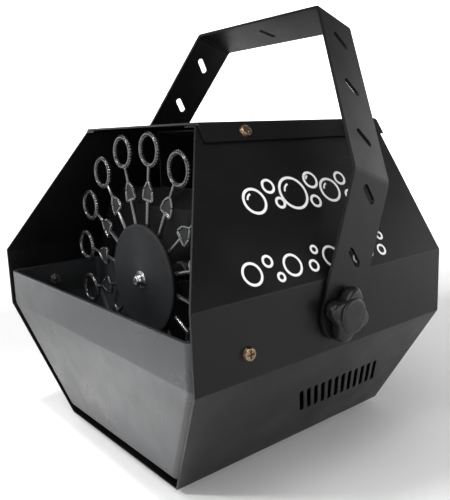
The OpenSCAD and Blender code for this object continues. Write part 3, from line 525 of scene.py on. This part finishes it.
def tub_hull(radius, name):
    """A solid stretched over balls of this radius at the tub's corners."""
    bm = bmesh.new()
    rows, columns = 10, 20
    for centre in tub_corners():
        for row in range(rows + 1):
            polar = math.pi * row / rows
            for column in range(columns if 0 < row < rows else 1):
                turn = 2 * math.pi * column / columns
                bm.verts.new(centre + radius * Vector((math.sin(polar) * math.cos(turn),
                                                       math.sin(polar) * math.sin(turn), math.cos(polar))))
    hull = bmesh.ops.convex_hull(bm, input=bm.verts)
    bmesh.ops.delete(bm, geom=[v for v in hull["geom_interior"] if isinstance(v, bmesh.types.BMVert)],
                     context="VERTS")
    bmesh.ops.dissolve_limit(bm, angle_limit=math.radians(0.5), verts=bm.verts, edges=bm.edges)
    bmesh.ops.recalc_face_normals(bm, faces=bm.faces)
    return to_mesh(bm, name)


def block(low, high, name):
    """An upright block between two corners."""
    bm = bmesh.new()
    base = [(low.x, low.y, low.z), (high.x, low.y, low.z), (high.x, high.y, low.z), (low.x, high.y, low.z)]
    prism(bm, base, (0, 0, high.z - low.z))
    bmesh.ops.recalc_face_normals(bm, faces=bm.faces)
    return to_mesh(bm, name)


def build_tank():
    outer = tub_hull(TANK_ROUND * CORNER_FIT * MM, "tub_outer")
    inner = tub_hull((TANK_ROUND - TANK_WALL) * CORNER_FIT * MM, "tub_inner")
    tub = carved(outer, inner)
    past = 50
    tub = carved(tub, block(shared(-BODY_W, -past, TANK_TOP),
                            shared(BODY_W, TANK_BACK + past, TANK_TOP + past), "tub_lid"))
    tub = carved(tub, block(shared(-NOTCH_HALF, TANK_BACK - 10, NOTCH_Z),
                            shared(NOTCH_HALF, TANK_BACK + 10, TANK_TOP + past), "tub_notch"))
    bm = bmesh.new()
    bm.from_mesh(tub)
    top = shared(0, 0, TANK_TOP).z
    rim = [e for e in bm.edges
           if all(abs(v.co.z - top) < 1e-5 for v in e.verts) and edge_angle(e) > SHEET_CORNER]
    bevel(bm, rim, RIM_ROUND * MM, 3)
    bm.normal_update()
    # The top 0.6 mm of the tub takes the pale rim finish, a painted highlight along its edge
    for face in bm.faces:
        face.material_index = 1 if face.calc_center_median().z > top - 0.6 * MM else 0
    mesh = finished(bm, "solution_tank_mesh")
    piece = replacing(mesh, "solution_tank", "tank_plastic")
    mesh.materials.append(MATERIALS["tank_rim_highlight"])
    weight_normals(piece)


# ---------------------------------------------------------------- bubble wheel

WHEEL_AXIS = Vector(JOINTS["wheel_spin"]["pos_m"])
WAND_COUNT, FIRST_WAND = 16, -8.5
RING_CIRCLE, RING_R, RING_HOLE = 85.5, 11.5, 8.1
TEETH, INNER_TOOTH, OUTER_TOOTH = 34, 1.0, 0.8
HUB_R, BORE_R = 33, 3.05
# Inner edge, length and width of a scoop, and where its bulging sides turn: how far along and how far out
SCOOP_R, SCOOP_L, SCOOP_W = 52, 15, 14
BULGE_ALONG, BULGE_OUT = 0.55 * SCOOP_L, 0.33 * SCOOP_W
# Radii of the arm, of a scoop's base and sides, and of the stem that carries the ring
ARM_R, BASE_R, SIDE_R, STEM_R = 1.45, 1.4, 1.1, 1.2
# How far the ends of a scoop's bars stay inside its outline
BASE_INSET, SIDE_INSET = 1.3, 1.2
# Half the thickness of the web that fills a scoop, and how far its corners stay inside the outline
WEB_HALF, WEB_INSET = 0.3, 1.5
# How far bars run into what they join: the arm into hub and scoop, the stem into scoop and ring
INTO_HUB, INTO_BASE, INTO_APEX, INTO_RING = 3, 1.5, 2.5, 1.6


def toothed(radius, angle):
    """Fine teeth round the inside and the outside of a ring; the crest between them stays smooth."""
    wave = 0.5 - 0.5 * math.cos(TEETH * angle)
    if radius < (RING_HOLE + 0.9) * MM:
        return radius + INNER_TOOTH * MM * wave
    if radius > (RING_R - 0.5) * MM:
        return radius - OUTER_TOOTH * MM * wave
    return radius


def ring_profile(half):
    """Section of a ring: a rounded crest on each face, with lower toothed edges inside and outside it."""
    crest = (RING_HOLE + RING_R) / 2
    face = ((RING_HOLE, 1.3), (RING_HOLE + 0.5, 0.95), (crest - 0.75, 0.8), (crest - 0.5, 0.2), (crest, 0),
            (crest + 0.5, 0.2), (crest + 0.75, 0.8), (RING_R - 0.4, 0.95), (RING_R, 1.3))
    return ([(radius * MM, half - sunk * MM) for radius, sunk in face]
            + [(radius * MM, sunk * MM - half) for radius, sunk in reversed(face)])


def wand(bm, webs, turn, rear, front):
    """One arm, scoop and ring, at an angle from straight up. rear and front are the wheel's two faces."""
    middle = (rear + front) / 2
    half = abs(front - rear) / 2
    out = Vector((-math.sin(turn), 0, math.cos(turn)))
    across = Vector((math.cos(turn), 0, math.sin(turn)))

    def at(radius, side=0.0, depth=0.0):
        place = Vector((WHEEL_AXIS.x, middle + depth, WHEEL_AXIS.z))
        return place + (out * radius + across * side) * MM

    bar(bm, at(HUB_R - INTO_HUB), at(SCOOP_R + INTO_BASE), ARM_R * MM)
    base_end = SCOOP_W / 2 - BASE_INSET
    bar(bm, at(SCOOP_R + BASE_R, -base_end), at(SCOOP_R + BASE_R, base_end), BASE_R * MM)
    apex = at(SCOOP_R + SCOOP_L - SIDE_INSET)
    for side in (-1, 1):
        corner = at(SCOOP_R + SIDE_INSET, side * (SCOOP_W / 2 - SIDE_INSET))
        bulge = at(SCOOP_R + BULGE_ALONG, side * BULGE_OUT)
        bar(bm, corner, bulge, SIDE_R * MM, 10)
        bar(bm, bulge, apex, SIDE_R * MM, 10)
    web_side = SCOOP_W / 2 - WEB_INSET
    outline = ((1, -web_side), (1, web_side), (BULGE_ALONG, BULGE_OUT),
               (SCOOP_L - 2, 0), (BULGE_ALONG, -BULGE_OUT))
    prism(webs, [at(SCOOP_R + far, side, -WEB_HALF * MM) for far, side in outline],
          (0, 2 * WEB_HALF * MM, 0))
    bar(bm, at(SCOOP_R + SCOOP_L - INTO_APEX), at(RING_CIRCLE - RING_R + INTO_RING), STEM_R * MM)
    turned(bm, ring_profile(half), at(RING_CIRCLE), (0, -1, 0), TEETH * 4, True, toothed)


def build_wand_wheel():
    rear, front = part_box("wand_wheel")[1].y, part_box("wand_wheel")[0].y
    bore, hub, edge, depth = BORE_R * MM, HUB_R * MM, 0.5 * MM, rear - front
    bm = bmesh.new()
    profile = [(bore, 0), (hub - edge, 0), (hub, edge),
               (hub, depth - edge), (hub - edge, depth), (bore, depth)]
    turned(bm, profile, (WHEEL_AXIS.x, rear, WHEEL_AXIS.z), (0, -1, 0), 72, True)
    webs = bmesh.new()
    for i in range(WAND_COUNT):
        wand(bm, webs, math.radians(FIRST_WAND + i * 360 / WAND_COUNT), rear, front)
    replacing(finished(bm, "wand_wheel_mesh", 50), "wand_wheel", "wheel_plastic")
    # The webs take the darker, duller disc finish: painted shade in their recess between the scoop's bars
    new_piece("scoop_webs", finished(webs, "scoop_webs_mesh"), BODY_OF["wand_wheel"], "disc_plastic")


def build_hub_disc():
    """A plain disc with a low raised lip round its edge and a small boss in the middle."""
    low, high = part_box("hub_disc")
    disc, thick = (high.x - low.x) / 2, high.y - low.y
    bore, boss, sunk = BORE_R * MM, 7.6 * MM, 0.2 * MM
    lip = [(disc - inward * MM, thick - down * MM)
           for inward, down in ((0, 0.9), (0.25, 0.35), (0.9, 0.05), (1.8, 0), (2.6, 0.2))]
    bm = bmesh.new()
    turned(bm, [(bore, 0), (disc - 0.5 * MM, 0), (disc, 0.5 * MM), *lip,
                (boss + 0.4 * MM, thick - sunk), (boss, thick), (bore, thick)],
           (WHEEL_AXIS.x, high.y, WHEEL_AXIS.z), (0, -1, 0), 96, True)
    replacing(finished(bm, "hub_disc_mesh", 50), "hub_disc", "disc_plastic")


def build_axle_nut():
    """The domed nut on the end of the axle."""
    low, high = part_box("axle_nut")
    nut, tall, bore = (high.z - low.z) / 2, high.y - low.y, BORE_R * MM
    dome = ((1, 0.4), (0.96, 0.62), (0.86, 0.82), (0.74, 1))
    bm = bmesh.new()
    turned(bm, [(bore, 0), (nut, 0), *((r * nut, d * tall) for r, d in dome), (bore, tall)],
           (WHEEL_AXIS.x, high.y, WHEEL_AXIS.z), (0, -1, 0), 40, True)
    replacing(finished(bm, "axle_nut_mesh", 60), "axle_nut", "bright_steel")


# ---------------------------------------------------------------- knobs

LOBES, LOBE_TIP, LOBE_MEAN, LOBE_SWING, LOBE_PHASE = 4, 16, 13.2, 2.8, 68
CAP_R = 10
# (radius, distance from the bar): the lobed grip, then the round cap on it
GRIP_PROFILE = ((0, 7), (3, 7), (3, 0), (13.4, 0), (14.8, 0.35), (15.7, 1.2), (LOBE_TIP, 2.4),
                (LOBE_TIP, 5.4), (15.7, 6.6), (14.9, 7.5), (13.6, 8.0))
CAP_PROFILE = ((CAP_R, 8.1), (CAP_R, 8.9), (9.8, 9.4), (9.2, 9.72), (7.5, 9.8), (0, 9.8))


def build_knob(node, outward):
    """A four-lobed hand knob. outward is 1 on the object's right and -1 on its left."""
    low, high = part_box(node)
    pivot = JOINTS["yoke_swing"]["pos_m"]
    centre = Vector((low.x if outward > 0 else high.x, pivot[1], pivot[2]))
    phase = math.radians(LOBE_PHASE if outward > 0 else 180 - LOBE_PHASE)

    def lobed(radius, angle):
        if radius < (CAP_R + 0.6) * MM:
            return radius
        swell = LOBE_MEAN + LOBE_SWING * math.cos(LOBES * (angle - phase))
        return radius * swell / LOBE_TIP

    bm = bmesh.new()
    profile = [(r * MM, d * MM) for r, d in GRIP_PROFILE + CAP_PROFILE]
    turned(bm, profile, centre, (outward, 0, 0), 96, False, lobed)
    replacing(finished(bm, node + "_mesh", 50), node, "knob_plastic")


# ---------------------------------------------------------------- printing

# How far the middle of the ink stands off the surface
INK_LIFT, INK_THICKNESS = 0.06, 0.05
# Bubbles as (distance behind the front edges, distance up the facet, radius)
LARGE_BUBBLES = ((66, 52, 7.5), (80, 60, 4), (84, 49, 3), (97, 54, 10), (112, 47, 3.5), (115, 61, 5),
                 (128, 53, 7.5), (141, 60, 4), (143, 48, 3))
SMALL_BUBBLES = ((44, 12, 6), (57, 17, 3), (62, 7, 2.2), (73, 12, 6), (88, 9, 3), (93, 18, 2.2),
                 (104, 12, 6), (118, 16, 3), (123, 7, 2.2), (134, 12, 6), (148, 9, 3), (152, 18, 2.2))
LARGE_STROKE, SMALL_STROKE = 1.7, 1.5
# Large bubbles over this radius carry a short highlight, at this share of their radius
HIGHLIT_R, HIGHLIGHT_AT, HIGHLIGHT_STROKE = 4.5, 0.62, 1.2
HIGHLIGHT_START, HIGHLIGHT_SWEEP = 105, 60


def print_stroke(bm, inner, outer):
    """Joins two equal rows of points into a flat stroke."""
    rows = [[bm.verts.new(point) for point in pair] for pair in zip(inner, outer)]
    for a, b in zip(rows, rows[1:]):
        bm.faces.new((a[0], a[1], b[1], b[0]))


def ink_piece(bm, name, body):
    """A piece of white ink, as thick as its coat."""
    bm.normal_update()
    piece = new_piece(name, to_mesh(bm, name + "_mesh"), body, "white_ink")
    ink = piece.modifiers.new("ink", "SOLIDIFY")
    ink.thickness = INK_THICKNESS * MM
    ink.offset = 0


def facet_point(y, up):
    """A point on the right upper facet: y along the housing, up along the facet from its lower fold."""
    x = BODY_W / 2 - up * math.sin(UPPER_SLOPE) + INK_LIFT * math.cos(UPPER_SLOPE)
    z = FOLD_HIGH + up * math.cos(UPPER_SLOPE) + INK_LIFT * math.sin(UPPER_SLOPE)
    return shared(x, y, z)


def printed_arc(bm, y, up, radius, stroke, start=0.0, sweep=360.0):
    """A printed stroke along a circle on the facet."""
    steps = max(8, int(sweep / 7.5))
    angles = [math.radians(start + sweep * i / steps) for i in range(steps + 1)]
    print_stroke(bm, *([facet_point(y + r * math.cos(a), up + r * math.sin(a)) for a in angles]
                       for r in (radius - stroke / 2, radius + stroke / 2)))


def build_print():
    """A generic row of bubbles in white ink, with a plainer row of small ones below it."""
    bm = bmesh.new()
    for y, up, radius in LARGE_BUBBLES:
        printed_arc(bm, y, up, radius, LARGE_STROKE)
        if radius > HIGHLIT_R:
            printed_arc(bm, y, up, HIGHLIGHT_AT * radius, HIGHLIGHT_STROKE, HIGHLIGHT_START, HIGHLIGHT_SWEEP)
    for y, up, radius in SMALL_BUBBLES:
        printed_arc(bm, y, up, radius, SMALL_STROKE)
    ink_piece(bm, "bubble_print", "housing")


def build_rocker_marks():
    """The usual line and circle on the two ends of the power rocker."""
    pivot = Vector(JOINTS["rocker_press"]["pos_m"])
    tilt = math.radians(10)
    middle_y, flank_rise, lift = 4.0, 0.2, 0.05
    line_half, line_start, line_end = 0.35, 3.0, 6.2
    circle_at, circle_inner, circle_outer, circle_steps = 4.6, 1.1, 1.7, 32

    def on_face(side, x, along):
        """A point on the upper (side 1) or lower (side -1) face of the rocker, along from the middle."""
        y = middle_y + flank_rise * along + lift
        z = side * along
        return pivot + MM * Vector((x, y * math.cos(tilt) - z * math.sin(tilt),
                                    y * math.sin(tilt) + z * math.cos(tilt)))

    bm = bmesh.new()
    line = ((-line_half, line_start), (line_half, line_start),
            (line_half, line_end), (-line_half, line_end))
    bm.faces.new([bm.verts.new(on_face(1, x, along)) for x, along in line])
    angles = [2 * math.pi * i / circle_steps for i in range(circle_steps + 1)]
    print_stroke(bm, *([on_face(-1, r * math.cos(a), circle_at + r * math.sin(a)) for a in angles]
                       for r in (circle_inner, circle_outer)))
    ink_piece(bm, "rocker_marks", "rocker")


# ---------------------------------------------------------------- plain CAD nodes with eased edges

# How far the hard edges of each node are rounded, in millimetres
EASED = {
    "rubber_feet": 0.5, "tank_pads": 0.5, "tank_washers": 0.15, "tank_screws": 0.22, "tank_nuts": 0.2,
    "cover_screws": 0.22, "rear_screws": 0.18, "foot_screws": 0.18, "foot_nuts": 0.2, "pivot_washers": 0.1,
    "pivot_nuts": 0.3, "gear_motor": 0.6, "motor_screws": 0.2, "motor_nuts": 0.2, "fan_frame": 0.6,
    "fan_screws": 0.2, "fan_nuts": 0.2, "power_inlet": 0.4, "inlet_pins": 0.3, "inlet_screws": 0.18,
    "switch_housing": 0.3, "fuse_holder": 0.4, "fuse_cap": 0.4, "terminal_block": 0.5, "terminal_screws": 0.2,
    "shaft_spacer": 0.3, "axle_washer": 0.15, "drive_shaft": 0.5, "fan_rotor": 0.25, "switch_rocker": 0.4,
    "stud_left": 0.2, "stud_right": 0.2}


def build_fittings():
    for node, width in EASED.items():
        softened(node, width * MM, SLOT_OF[node])


# ---------------------------------------------------------------- stage and light

# Brightness of the sky, of the floor round the object, and of the floor and wall further off
# The floor glows less round the object: a painted shadow there
SKY, NEAR_GLOW, FAR_GLOW = 0.2, 0.05, 0.9
# Metres from the object between which the floor's glow grows
GLOW_START, GLOW_END = 0.38, 1.0
FLOOR_HALF, WALL_RADIUS, WALL_HEIGHT, WALL_SIDES = 6.0, 5.0, 2.2, 48


def glowing(name, near_strength, far_strength):
    """A plain pale material that gives off a little light, more of it away from the object, so that the dimmer
    floor round the object is a painted shadow.
    """
    surface = Surface(name, (0.9, 0.9, 0.9), 0.9).mottle(3, (0.92, 0.92, 0.92))
    distance = surface.tree.nodes.new("ShaderNodeVectorMath")
    distance.operation = "LENGTH"
    surface.link(surface.coords, distance.inputs[0])
    strength = surface.ramp(distance.outputs["Value"], GLOW_START, GLOW_END, near_strength, far_strength)
    surface.link(strength, surface.shader.inputs["Emission Strength"])
    surface.shader.inputs["Emission Color"].default_value = (1, 1, 1, 1)
    return surface.material


def stage_piece(name, points, faces, material):
    """A piece of the surroundings, which isn't part of the object."""
    mesh = bpy.data.meshes.new(name)
    mesh.from_pydata(points, [], faces)
    mesh.materials.append(material)
    stage = bpy.data.objects.new(name, mesh)
    bpy.context.scene.collection.objects.link(stage)


def make_stage():
    """A pale floor, a low white wall all round it and a soft grey sky."""
    corners = [(x * FLOOR_HALF, y * FLOOR_HALF, 0) for x, y in ((-1, -1), (1, -1), (1, 1), (-1, 1))]
    stage_piece("floor", corners, [(0, 1, 2, 3)], glowing("floor_paper", NEAR_GLOW, FAR_GLOW))
    turns = [2 * math.pi * i / WALL_SIDES for i in range(WALL_SIDES)]
    ring = [(WALL_RADIUS * math.cos(turn), WALL_RADIUS * math.sin(turn), z)
            for z in (0, WALL_HEIGHT) for turn in turns]
    sides = [(i, (i + 1) % WALL_SIDES, WALL_SIDES + (i + 1) % WALL_SIDES, WALL_SIDES + i)
             for i in range(WALL_SIDES)]
    stage_piece("wall", ring, sides, glowing("wall_paper", FAR_GLOW, FAR_GLOW))
    world = bpy.data.worlds.new("studio")
    world.use_nodes = True
    world.node_tree.nodes["Background"].inputs["Color"].default_value = (1, 1, 1, 1)
    world.node_tree.nodes["Background"].inputs["Strength"].default_value = SKY
    bpy.context.scene.world = world
    bpy.context.scene.view_settings.view_transform = "Standard"


def aimed_light(name, kind, place, target, power):
    """A light of some kind at a place, turned towards a target. Returns its data."""
    data = bpy.data.lights.new(name, kind)
    data.energy = power
    light = bpy.data.objects.new(name, data)
    light.location = place
    light.rotation_euler = (Vector(target) - Vector(place)).to_track_quat("-Z", "Y").to_euler()
    bpy.context.scene.collection.objects.link(light)
    return data


def area_light(name, place, target, size, power):
    """A flat rectangular light. Places and sizes are metres, power is watts."""
    data = aimed_light(name, "AREA", place, target, power)
    data.shape = "RECTANGLE"
    data.size, data.size_y = size


def spot_light(name, place, target, angle, power):
    """A round beam, angle degrees wide, with a soft edge."""
    data = aimed_light(name, "SPOT", place, target, power)
    data.spot_size = math.radians(angle)
    data.spot_blend = 0.9
    data.shadow_soft_size = 0.12


def make_lights():
    """A big soft light from above, a small one that picks out the wheel, and one on the floor ahead."""
    area_light("softbox", (0.35, -0.9, 2.0), (0.15, -0.7, 0), (1.6, 1.2), 18)
    area_light("front_key", (-0.2, -1.1, 0.9), (0, -0.05, 0.12), (0.16, 0.16), 9)
    spot_light("floor_patch", (-0.04, -0.225, 1.2), (-0.04, -0.165, 0), 15, 75)


# ---------------------------------------------------------------- run

build_sheet_metal()
build_tank()
build_wand_wheel()
build_hub_disc()
build_axle_nut()
build_knob("knob_left", -1)
build_knob("knob_right", 1)
build_print()
build_rocker_marks()
build_fittings()
make_stage()
make_lights()
